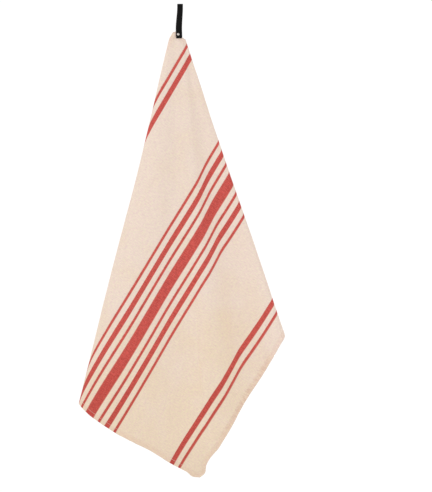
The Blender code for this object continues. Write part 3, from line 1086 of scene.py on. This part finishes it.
@dataclass
class TowelCloth:
    """The striped cloth, bent along its folds, with turned and stitched hems."""

    width: float = 506.0
    length: float = 750.0
    far_corner_u: float = 505.0
    side_corner_u: float = 513.0
    bottom_sag: float = 2.5
    corner_x: float = -14.1
    corner_z: float = -54.9
    stripe_lean: float = 30.5
    clamped_u: float = 14.0
    top_rim_reach: float = 90.0
    corner_lift: float = 9.0
    corner_lift_span: float = 21.0
    tip_cut: float = 1.2
    tip_cut_reach: float = 8.0
    tip_curl: float = 4.0
    tip_curl_reach: float = 26.0
    field_thickness: float = 0.8
    hem_thickness: float = 1.6
    rim_thickness: float = 0.9
    # The right side lies this far in front of the surface that the folds are walked on.
    front_gap: float = 0.6
    hem_width: float = 10.0
    hem_step: float = 3.0
    line_pitch: float = 4.2
    row_pitch: float = 6.6
    # Rows beside the bottom rim, by distance from it, and beside the top rim, along the line.
    rim_rows: tuple[float, ...] = (
        0.0, 0.6, 1.6, 3.2, 5.0, 6.8, 8.2, 9.2, 10.4, 12.0, 14.5, 18.0, 23.0, 29.0,
    )
    top_rows: tuple[float, ...] = (0.0, 1.0, 2.5, 5.0, 9.0)
    pucker_pitch: float = 7.0
    pucker_height: float = 0.34
    # Puckers are highest this far from the edge, and fade over the reach.
    pucker_line: float = 8.0
    pucker_reach: float = 22.0
    scallop: float = 0.55
    scallop_pitch: float = 16.0
    scallop_reach: float = 14.0
    unevenness: float = 0.5
    unevenness_pitch: float = 52.0
    # The strap clamps the cloth this far from its corner; it lies freely a hand's width on.
    clamp_reach: float = 45.0
    freedom_span: float = 60.0
    # Distance over which a folded edge is rounded.
    edge_rounding: float = 1.6
    hole_centre: tuple[float, float] = (-3.6, -59.4)
    hole_radius: float = 1.6
    finish: WovenCottonLinen = field(default_factory=WovenCottonLinen)

    # -- flat shape
    def lift_at(self, u: float) -> float:
        """How far the clamped corner's short edge is drawn up at a distance u."""
        across = min(max(u / self.corner_lift_span, 0.0), 1.0)
        return self.corner_lift * math.sin(math.pi * across) ** 1.5

    def rim_shift(self, place: float) -> float:
        """How far the bottom rim runs out past its straight line at a place."""
        return sum(
            shift.out * smooth_step(1.0 - abs(place - shift.place) / shift.half_width)
            for shift in RIM_SHIFTS
        )

    def bottom_edge_v(self, u: float) -> float:
        """Find the bottom edge, which sags a little between its corners.

        Args:
            u: distance across the stripes.

        Returns:
            V of the edge there.
        """
        across = min(max(u / self.far_corner_u, 0.0), 1.0)
        sag = self.bottom_sag * math.sin(math.pi * across)
        return self.length + sag + self.rim_shift(min(across * self.width, self.width))

    def far_edge_u(self, v: float) -> float:
        """U of the far long edge, which runs a little out of square."""
        lean = (self.side_corner_u - self.far_corner_u) * (1.0 - v / self.length)
        return self.far_corner_u + lean + self.rim_shift(max(self.length - v, 0.0) + self.width)

    def top_rim(self, place: float) -> np.ndarray:
        """Flat (u, v) of a place on the top rim."""
        return np.array((max(place, 0.0), max(-place, 0.0) - self.lift_at(place)))

    def bottom_rim(self, place: float) -> np.ndarray:
        """Find a place on the bottom rim, whose far corner is blunt.

        Args:
            place: distance along the rim from its left end.

        Returns:
            Flat (u, v) of the place.
        """
        blunt = self.tip_cut * smooth_step(1.0 - abs(place - self.width) / self.tip_cut_reach)
        if place <= self.width:
            u = self.far_corner_u * place / self.width
            return np.array((u, self.bottom_edge_v(u))) - blunt
        v = self.length - (place - self.width)
        return np.array((self.far_edge_u(v), v)) - blunt

    def to_nearest_edge(self, u: float, v: float) -> tuple[float, float]:
        """Measure from a point to the nearest edge of the cloth.

        Args:
            u: distance across the stripes.
            v: distance along the stripes.

        Returns:
            Distance to the nearest edge, and distance along that edge.
        """
        beside = min(u, self.far_edge_u(v) - u)
        above = min(v + self.lift_at(u), self.bottom_edge_v(u) - v)
        return (beside, v) if beside < above else (above, u)

    def stripe_shift(self, place: float, share: float) -> float:
        """How far the stripes bow sideways at a share of the way down a bend line."""
        return sum(
            pull.shift * math.exp(
                -((place - pull.place) / pull.reach) ** 2 / 2
                - ((share - pull.share) / pull.share_reach) ** 2 / 2
            )
            for pull in PULLS
        )

    # -- bend lines
    def bend_lines(self) -> list[BendLine]:
        """List the bend lines from left to right.

        Returns:
            Lines a few millimetres apart on the bottom rim; each fold's turn is spread over its
            own lines, with the sharpest part in its middle.
        """
        ends = BendLine(-self.top_rim_reach, 0.0, 0.0)
        lines = [ends]
        for fold in FOLDS:
            first = BendLine(
                fold.top - fold.top_width / 2, fold.bottom - fold.bottom_width / 2, 0.0,
            )
            lines += self._between(ends, first)
            steps = math.ceil(fold.bottom_width / self.line_pitch)
            for step in range(steps + 1):
                share = step / steps
                turned = smooth_step(share + 0.5 / steps) - smooth_step(share - 0.5 / steps)
                lines.append(BendLine(
                    first.top + share * fold.top_width, first.bottom + share * fold.bottom_width,
                    fold.turn * turned,
                ))
            ends = lines[-1]
        last = BendLine(self.top_rim_reach, self.width + self.length, 0.0)
        lines += [*self._between(ends, last), last]
        after = next(index for index, line in enumerate(lines) if line.bottom > self.width)
        before, beyond = lines[after - 1], lines[after]
        share = (self.width - before.bottom) / (beyond.bottom - before.bottom)
        corner = BendLine(before.top + share * (beyond.top - before.top), self.width, 0.0)
        return lines[:after] + [corner] + lines[after:]

    def _between(self, first: BendLine, last: BendLine) -> list[BendLine]:
        """Fill the flat cloth between two folds with lines that don't turn.

        Args:
            first: the line before the first new one.
            last: the line after the last new one.

        Returns:
            The new lines, a little further apart than in the folds.
        """
        steps = max(math.ceil((last.bottom - first.bottom) / (1.3 * self.line_pitch)), 1)
        return [
            BendLine(
                first.top + step / steps * (last.top - first.top),
                first.bottom + step / steps * (last.bottom - first.bottom), 0.0,
            )
            for step in range(1, steps)
        ]

    def walk_folds(self, lines: Sequence[BendLine]) -> list[tuple[np.ndarray, np.ndarray]]:
        """Place each bend line in space, starting from the strip clamped by the strap.

        Args:
            lines: the bend lines from left to right.

        Returns:
            The two ends of each line, in millimetres.
        """
        lean_cos = math.cos(math.radians(self.stripe_lean))
        lean_sin = math.sin(math.radians(self.stripe_lean))
        start_frame = np.array(((lean_cos, -lean_sin), (0.0, 0.0), (-lean_sin, -lean_cos)))
        start_origin = np.array((self.corner_x, 0.0, self.corner_z))
        start = max(index for index, line in enumerate(lines) if line.top < self.clamped_u)
        placed: list[tuple[np.ndarray, np.ndarray]] = [(start_origin, start_origin)] * len(lines)
        for direction in (1, -1):
            frame_now, origin = start_frame.copy(), start_origin.copy()
            stop = len(lines) if direction > 0 else -1
            for index in range(start, stop, direction):
                flat_top = self.top_rim(lines[index].top)
                top = frame_now @ flat_top + origin
                bottom = frame_now @ self.bottom_rim(lines[index].bottom) + origin
                placed[index] = (top, bottom)
                if index == start and direction > 0:
                    continue
                turn = math.radians(-direction * lines[index].turn)
                spin = Matrix.Rotation(turn, 3, Vector(bottom - top).normalized())
                frame_now = np.array(spin) @ frame_now
                origin = top - frame_now @ flat_top
        return placed

    # -- relief
    def wave_height(self, place: float, from_rim: float) -> float:
        """Height of the hem's soft waves at a place, a distance up from the bottom rim."""
        return sum(
            wave.height * smooth_step(1.0 - abs(place - wave.place) / wave.half_width)
            * smooth_step(1.0 - from_rim / wave.reach)
            for wave in WAVES
        )

    def crease_height(self, place: float, share: float) -> float:
        """Height of the soft creases at a share of the way down a bend line."""
        return sum(
            crease.height * smooth_step(1.0 - abs(place - crease.place) / crease.half_width)
            * smooth_step(1.0 - abs(share - crease.share) / crease.share_reach)
            for crease in CREASES
        )

    def pucker(self, edge: float, along: float, place: float) -> float:
        """Draw the small puckers that the stitching leaves in a hem.

        Args:
            edge: distance from the nearest edge.
            along: distance along that edge.
            place: place on the bottom rim that the bend line runs to.

        Returns:
            Height of the puckers, weaker on the bottom edge than on the far long edge. Two noises
            keep them from being even, one in their spacing and one in their strength.
        """
        sway = noise.noise(Vector((along / 31.0, place / 400.0, 3.7)))
        strength = 0.35 + 0.65 * smooth_step((place - self.width) / 60.0)
        strength *= 0.6 + 0.8 * abs(noise.noise(Vector((along / 23.0, 9.1, place / 300.0))))
        wave = math.sin(math.tau * along / self.pucker_pitch + 5.0 * sway)
        near = smooth_step(1.0 - abs(edge - self.pucker_line) / self.pucker_reach)
        return self.pucker_height * strength * wave * near

    def uneven(self, u: float, v: float) -> float:
        """Leave the faint unevenness of cloth that has been washed.

        Args:
            u: distance across the stripes.
            v: distance along the stripes.

        Returns:
            Height of a broad and a finer unevenness together.
        """
        size = self.unevenness_pitch
        broad = noise.noise(Vector((u / size, v / (1.4 * size), 0.5)))
        fine = noise.noise(Vector((u / (0.38 * size), v / (0.5 * size), 4.5)))
        return self.unevenness * (broad + 0.3 * fine)

    def freedom_at(self, u: float, v: float) -> float:
        """How freely the cloth lies: 0 where the strap clamps it, 1 a hand's width away."""
        return smooth_step((math.hypot(u, v) - self.clamp_reach) / self.freedom_span)

    def curl_at(self, flat: np.ndarray) -> float:
        """How far the blunt tip at the far corner curls away from the viewer."""
        distance = float(np.linalg.norm(flat - self.bottom_rim(self.width)))
        return self.tip_curl * smooth_step(1.0 - distance / self.tip_curl_reach)

    def thickness_at(self, edge: float) -> float:
        """Find how thick the cloth is: three layers in the hem, one inside it.

        Args:
            edge: distance from the nearest edge, whose fold is rounded.

        Returns:
            Thickness there.
        """
        inside = smooth_step((edge - self.hem_width) / self.hem_step)
        thick = self.hem_thickness + (self.field_thickness - self.hem_thickness) * inside
        rounding = smooth_step(edge / self.edge_rounding)
        return self.rim_thickness + (thick - self.rim_thickness) * rounding

    def row_shares(self, top: np.ndarray, bottom: np.ndarray, place: float) -> list[float]:
        """Space the rows that cross a bend line, dense beside both rims.

        Args:
            top: flat (u, v) of the line's top end.
            bottom: flat (u, v) of its bottom end.
            place: place of its bottom end on the bottom rim.

        Returns:
            Shares of the line at which the rows cross it.
        """
        down = bottom - top
        across = down[1] if place <= self.width else down[0]
        length = float(np.linalg.norm(down))
        first = self.top_rows[-1] / length
        last = 1.0 - self.rim_rows[-1] / across
        middle = [first + (last - first) * row / self.middle_rows
                  for row in range(1, self.middle_rows)]
        above = [distance / length for distance in self.top_rows]
        below = [1.0 - distance / across for distance in reversed(self.rim_rows)]
        return above + middle + below

    @property
    def middle_rows(self) -> int:
        """How many steps the rows between the two rims' own rows take."""
        return round(self.length / self.row_pitch)

    # -- mesh
    def _surface(self) -> tuple[np.ndarray, np.ndarray, np.ndarray, np.ndarray]:
        """Work out the front surface.

        Returns:
            Points in metres, thickness in millimetres, pattern UV and hem UV in metres, each by
            line and row.
        """
        lines = self.bend_lines()
        placed = self.walk_folds(lines)
        rows = len(self.top_rows) + len(self.rim_rows) + self.middle_rows - 1
        points = np.zeros((len(lines), rows, 3))
        thick = np.zeros((len(lines), rows))
        pattern = np.zeros((len(lines), rows, 2))
        hem = np.zeros((len(lines), rows, 2))
        for index, line in enumerate(lines):
            top, bottom = placed[index]
            before = placed[max(index - 1, 0)][1]
            after = placed[min(index + 1, len(lines) - 1)][1]
            away = np.cross(after - before, bottom - top)
            away /= np.linalg.norm(away)
            flat_top, flat_bottom = self.top_rim(line.top), self.bottom_rim(line.bottom)
            length = float(np.linalg.norm(bottom - top))
            for row, share in enumerate(self.row_shares(flat_top, flat_bottom, line.bottom)):
                u, v = flat_top + share * (flat_bottom - flat_top)
                edge, along = self.to_nearest_edge(u, v)
                from_rim = (1.0 - share) * length
                curl = self.curl_at(np.array((u, v)))
                height = curl - self.wave_height(line.bottom, from_rim) - self.front_gap
                height -= self.crease_height(line.bottom, share)
                relief = self.uneven(u, v) + self.pucker(edge, along, line.bottom)
                height -= relief * self.freedom_at(u, v)
                reach = share + self._scallop_at(line.bottom, from_rim) / length
                points[index, row] = top + reach * (bottom - top) + away * height
                points[index, row, 2] += curl / 2
                thick[index, row] = self.thickness_at(edge)
                pattern[index, row] = (u - self.stripe_shift(line.bottom, share), v)
                hem[index, row] = (edge, along)
        return points * MM, thick, pattern * MM, hem * MM

    def _scallop_at(self, place: float, from_rim: float) -> float:
        """How far the bottom rim runs out or in, as puckered hems do."""
        broad = noise.noise(Vector((place / self.scallop_pitch, 2.3, 0.0)))
        return self.scallop * broad * smooth_step(1.0 - from_rim / self.scallop_reach)

    def build(self) -> bpy.types.Object:
        """Bend a flat grid along the folds, give it thickness and punch the rivet's hole.

        Returns:
            The cloth, which stands for the towel's solid.
        """
        points, thick, pattern, hem = self._surface()
        line_count, rows = thick.shape
        shape = bmesh.new()
        bmesh.ops.create_grid(shape, x_segments=line_count - 1, y_segments=rows - 1, size=1.0)
        weights = shape.verts.layers.deform.verify()
        pattern_map = shape.loops.layers.uv.new("pattern")
        hem_map = shape.loops.layers.uv.new("hem")
        shape.verts.index_update()
        spots = []
        for vert in shape.verts:
            line = round((vert.co.x + 1.0) / 2.0 * (line_count - 1))
            row = round((vert.co.y + 1.0) / 2.0 * (rows - 1))
            spots.append((line, row))
            vert.co = Vector(points[line, row])
            vert[weights][0] = thick[line, row] / self.hem_thickness
        for face in shape.faces:
            for loop in face.loops:
                spot = spots[loop.vert.index]
                loop[pattern_map].uv = pattern[spot]
                loop[hem_map].uv = hem[spot]
        shape.normal_update()
        if sum(face.normal.y for face in shape.faces if face.calc_center_median().y < 0.0) > 0.0:
            bmesh.ops.reverse_faces(shape, faces=shape.faces)
        dressing = [self.finish.dress(side) for side in ClothSide]
        cloth = make_object("striped_tea_towel", shape, dressing, smooth_angle=60.0)
        group = cloth.vertex_groups.new(name="thickness")
        skin = cloth.modifiers.new("thickness", "SOLIDIFY")
        skin.thickness = self.hem_thickness * MM
        skin.offset = -1.0
        skin.vertex_group = group.name
        skin.use_even_offset = False
        skin.material_offset = 1
        skin.material_offset_rim = 0
        punch_hole(cloth, self.hole_centre, self.hole_radius)
        return cloth

    def place(self, rests_on: Sequence[str]) -> bpy.types.Object:
        """Build the cloth, attach it to the root and hide the solid that it replaces.

        Args:
            rests_on: names of the pieces that the cloth hangs from; not used.

        Returns:
            The cloth.
        """
        cloth = self.build()
        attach(cloth, "root")
        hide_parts("towel_cloth")
        return cloth


# ---- the strap -------------------------------------------------------------------------------
@dataclass(frozen=True)
class Lean:
    """X of the strap's front and rear legs at a height."""

    z: float
    front_x: float
    rear_x: float


@dataclass
class StrapLoop:
    """A narrow leather strip folded in half into a loop, its ends beside the cloth's corner."""

    width: float = 11.6
    thickness: float = 2.0
    edge_round: float = 0.45
    inner_radius: float = 4.4
    end_z: float = -67.6
    close_z: float = -47.0
    part_z: float = -12.0
    cloth_gap: float = 1.25
    leans: tuple[Lean, ...] = (
        Lean(-67.6, -2.1, -1.2), Lean(-48.0, -2.9, -1.7), Lean(-4.0, 0.1, 0.1),
    )
    leg_rows: int = 54
    bend_rows: int = 40
    cross_rows: int = 8
    crown: float = 0.12
    hole_centre: tuple[float, float] = (-3.6, -59.4)
    hole_radius: float = 1.6

    def leg_x(self, z: float, front: bool) -> float:
        """Find a leg's lean, eased between the rows of the table.

        Args:
            z: the height.
            front: whether the front leg is meant.

        Returns:
            X of the leg's middle there.
        """
        for below, above in zip(self.leans, self.leans[1:]):
            if z <= above.z:
                low = below.front_x if front else below.rear_x
                high = above.front_x if front else above.rear_x
                return low + (high - low) * smooth_step((z - below.z) / (above.z - below.z))
        return self.leans[-1].front_x if front else self.leans[-1].rear_x

    def leg_offset(self, z: float) -> float:
        """Find how far a leg stands from the loop's middle plane.

        Args:
            z: the height.

        Returns:
            Distance of the leg's middle from that plane.
        """
        closed = self.cloth_gap + self.thickness / 2
        apart = self.inner_radius + self.thickness / 2
        share = smooth_step((z - self.close_z) / (self.part_z - self.close_z))
        return closed + (apart - closed) * share

    def path(self) -> list[Vector]:
        """Follow the strap up its front leg, over the top and down its rear leg.

        Returns:
            Points of the strap's middle line, in millimetres.
        """
        radius = self.inner_radius + self.thickness / 2
        spring = -self.inner_radius
        heights = [
            self.end_z + (spring - self.end_z) * row / self.leg_rows
            for row in range(self.leg_rows)
        ]
        line = [Vector((self.leg_x(z, True), -self.leg_offset(z), z)) for z in heights]
        for row in range(self.bend_rows + 1):
            share = row / self.bend_rows
            angle = math.pi * share
            z = spring + radius * math.sin(angle)
            x = self.leg_x(z, True) * (1.0 - share) + self.leg_x(z, False) * share
            line.append(Vector((x, -radius * math.cos(angle), z)))
        line += [
            Vector((self.leg_x(z, False), self.leg_offset(z), z)) for z in reversed(heights)
        ]
        return line

    def build(self) -> bpy.types.Object:
        """Sweep the strap's slightly crowned width along its path and thicken it.

        Returns:
            The strap, which stands for the loop's solid.
        """
        line = self.path()
        shape = bmesh.new()
        bmesh.ops.create_grid(
            shape, x_segments=self.cross_rows, y_segments=len(line) - 1, size=1.0,
        )
        for vert in shape.verts:
            row = round((vert.co.y + 1.0) / 2.0 * (len(line) - 1))
            before, after = line[max(row - 1, 0)], line[min(row + 1, len(line) - 1)]
            along = (after - before).normalized()
            outward = Vector((0.0, -along.z, along.y)).normalized()
            across = vert.co.x
            bulge = self.crown * (1.0 - across * across)
            side = Vector((self.width / 2 * across, 0.0, 0.0))
            vert.co = (line[row] + side + outward * bulge) * MM
        shape.normal_update()
        dressing = [BlackLeather().dress(), CutLeatherEdge().dress()]
        strap = make_object("leather_strap_loop", shape, dressing)
        skin = strap.modifiers.new("thickness", "SOLIDIFY")
        skin.thickness = self.thickness * MM
        skin.offset = 0.0
        skin.use_even_offset = False
        skin.material_offset_rim = 1
        rounding = strap.modifiers.new("rounded_edges", "BEVEL")
        rounding.width = self.edge_round * MM
        rounding.segments = 4
        rounding.limit_method = "ANGLE"
        rounding.angle_limit = math.radians(60.0)
        punch_hole(strap, self.hole_centre, self.hole_radius)
        return strap

    def place(self) -> bpy.types.Object:
        """Build the strap, attach it to the root and hide the solid that it stands for.

        Returns:
            The strap.
        """
        strap = self.build()
        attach(strap, "root")
        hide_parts("hanging_loop")
        return strap


# ---- the rivet -------------------------------------------------------------------------------
@dataclass
class StrapRivet:
    """A two-part cap rivet: domed head in front, shank through all layers, flat cap behind."""

    x: float = -3.6
    z: float = -59.4
    seat: float = 3.6
    shank_radius: float = 1.2
    head_radius: float = 2.6
    head_height: float = 1.3
    cap_radius: float = 2.6
    cap_height: float = 0.7
    ease: float = 0.2
    sides: int = 56
    dome_steps: int = 14

    def outline(self) -> list[tuple[float, float]]:
        """Draw the rivet's half outline, from the dome's top to the cap's middle.

        Returns:
            Its points as (radius, y), in millimetres.
        """
        rim = -self.seat - self.ease
        dome = [
            (self.head_radius * math.sin(angle), rim - self.head_height * math.cos(angle))
            for angle in (math.pi / 2 * step / self.dome_steps
                          for step in range(self.dome_steps + 1))
        ]
        return dome + [
            (self.head_radius - self.ease, -self.seat),
            (self.shank_radius, -self.seat),
            (self.shank_radius, self.seat),
            (self.cap_radius - self.ease, self.seat),
            (self.cap_radius, self.seat + self.ease),
            (self.cap_radius, self.seat + self.cap_height - 2.0 * self.ease),
            (self.cap_radius - self.ease, self.seat + self.cap_height - self.ease / 2),
            (self.cap_radius - 3.0 * self.ease, self.seat + self.cap_height),
            (0.0, self.seat + self.cap_height),
        ]

    def build(self) -> bpy.types.Object:
        """Turn the rivet's half outline about its own axis, which runs along Y.

        Returns:
            The rivet, which stands for the rivet's solid.
        """
        shape = bmesh.new()
        verts = [shape.verts.new((radius * MM, y * MM, 0.0)) for radius, y in self.outline()]
        edges = [shape.edges.new(pair) for pair in zip(verts, verts[1:])]
        bmesh.ops.spin(
            shape, geom=verts + edges, cent=(0, 0, 0), axis=(0, 1, 0), angle=math.tau,
            steps=self.sides, use_merge=True,
        )
        bmesh.ops.remove_doubles(shape, verts=shape.verts, dist=MERGE_DISTANCE * MM)
        bmesh.ops.recalc_face_normals(shape, faces=shape.faces)
        bmesh.ops.translate(shape, verts=shape.verts, vec=(self.x * MM, 0.0, self.z * MM))
        return make_object("cap_rivet", shape, [PlatedSteel().dress()], smooth_angle=35.0)

    def place(self) -> bpy.types.Object:
        """Build the rivet, attach it to the root and hide the solid that it stands for.

        Returns:
            The rivet.
        """
        rivet = self.build()
        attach(rivet, "root")
        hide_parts("loop_rivet")
        return rivet


# ---- the studio ------------------------------------------------------------------------------
@dataclass(frozen=True)
class Softbox:
    """A square soft light: where it stands, what it is turned to, its side and its power."""

    name: str
    place: tuple[float, float, float]
    aim: tuple[float, float, float]
    side: float
    power: float


@dataclass
class Studio:
    """White surroundings, a pale floor below, soft lights and the camera straight in front."""

    view_middle: tuple[float, float] = (72.6, -486.7)
    view_height: float = 992.9
    view_distance: float = 3500.0
    floor_z: float = -1350.0
    floor_side: float = 5000.0
    surround_strength: float = 0.755
    white_strength: float = 1.05
    softboxes: tuple[Softbox, ...] = (
        Softbox("key_softbox", (-2.2, -1.2, 0.6), (0.05, 0.0, -0.5), 2.0, 22.0),
        Softbox("fill_softbox", (1.8, -1.5, -1.0), (0.05, 0.0, -0.5), 1.6, 14.6),
        Softbox("rear_softbox", (1.3, 2.1, 0.7), (0.05, 0.0, -0.5), 1.4, 14.0),
    )

    def build_floor(self) -> bpy.types.Object:
        """Lay the pale floor below the towel.

        Returns:
            The floor.
        """
        shape = bmesh.new()
        bmesh.ops.create_grid(
            shape, x_segments=1, y_segments=1, size=self.floor_side / 2 * MM,
            matrix=Matrix.Translation((0.0, 0.0, self.floor_z * MM)),
        )
        floor = make_object("studio_floor", shape, [MattPaper().dress()])
        return floor

    def light_surroundings(self) -> None:
        """Surround the scene with even white light, and show the surroundings as plain white."""
        world = bpy.data.worlds.new("white_surroundings")
        world.use_nodes = True
        tree = world.node_tree
        white = (1.0, 1.0, 1.0, 1.0)
        background = tree.nodes["Background"]
        background.inputs["Color"].default_value = white
        background.inputs["Strength"].default_value = self.surround_strength
        seen = add_node(
            tree, "ShaderNodeBackground", values={"Color": white, "Strength": self.white_strength},
        )
        paths = add_node(tree, "ShaderNodeLightPath")
        either = add_node(
            tree, "ShaderNodeMixShader", links={
                0: paths.outputs["Is Camera Ray"], 1: background.outputs["Background"],
                2: seen.outputs["Background"],
            },
        )
        tree.links.new(either.outputs["Shader"], tree.nodes["World Output"].inputs["Surface"])
        bpy.context.scene.world = world

    def set_plain_colours(self) -> None:
        """Show colours as they are, as a catalogue picture on white does."""
        bpy.context.scene.view_settings.view_transform = "Standard"

    def add_softbox(self, box: Softbox) -> bpy.types.Object:
        """Add one soft light, which isn't seen itself.

        Args:
            box: the light's place, aim, side and power.

        Returns:
            The light.
        """
        lamp = bpy.data.lights.new(box.name, "AREA")
        lamp.shape = "SQUARE"
        lamp.size = box.side
        lamp.energy = box.power
        light = bpy.data.objects.new(box.name, lamp)
        towards = Vector(box.aim) - Vector(box.place)
        light.location = box.place
        light.rotation_euler = towards.to_track_quat("-Z", "Y").to_euler()
        light.visible_camera = False
        bpy.context.collection.objects.link(light)
        return light

    def add_camera(self) -> bpy.types.Object:
        """Stand the camera level and square in front of the towel.

        Returns:
            The camera, which is the scene's.
        """
        lens = bpy.data.cameras.new("front_camera")
        lens.type = "ORTHO"
        lens.ortho_scale = self.view_height * MM
        camera = bpy.data.objects.new("front_camera", lens)
        x, z = self.view_middle
        camera.location = (x * MM, -self.view_distance * MM, z * MM)
        camera.rotation_euler = (math.pi / 2, 0.0, 0.0)
        bpy.context.collection.objects.link(camera)
        bpy.context.scene.camera = camera
        return camera

    def place(self) -> None:
        """Set up the whole studio."""
        self.set_plain_colours()
        self.add_camera()
        self.light_surroundings()
        self.build_floor()
        for box in self.softboxes:
            self.add_softbox(box)


def report(make: Callable[[], bpy.types.Object]) -> bpy.types.Object:
    """Make one piece and log its size.


    Returns:
        The piece.
    """
    piece = make()
    size = [round(side / MM, 1) for side in piece.dimensions]
    log.info("%s: %d faces, %s mm", piece.name, len(piece.data.polygons), size)
    return piece


def main() -> None:
    """Set up the studio, then build the pieces in order."""
    logging.basicConfig(level=logging.INFO, format="%(name)s: %(message)s")
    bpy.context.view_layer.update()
    Studio().place()
    strap = report(StrapLoop().place)
    report(StrapRivet().place)
    report(lambda: TowelCloth().place(rests_on=[strap.name]))


if __name__ == "__main__":
    main()
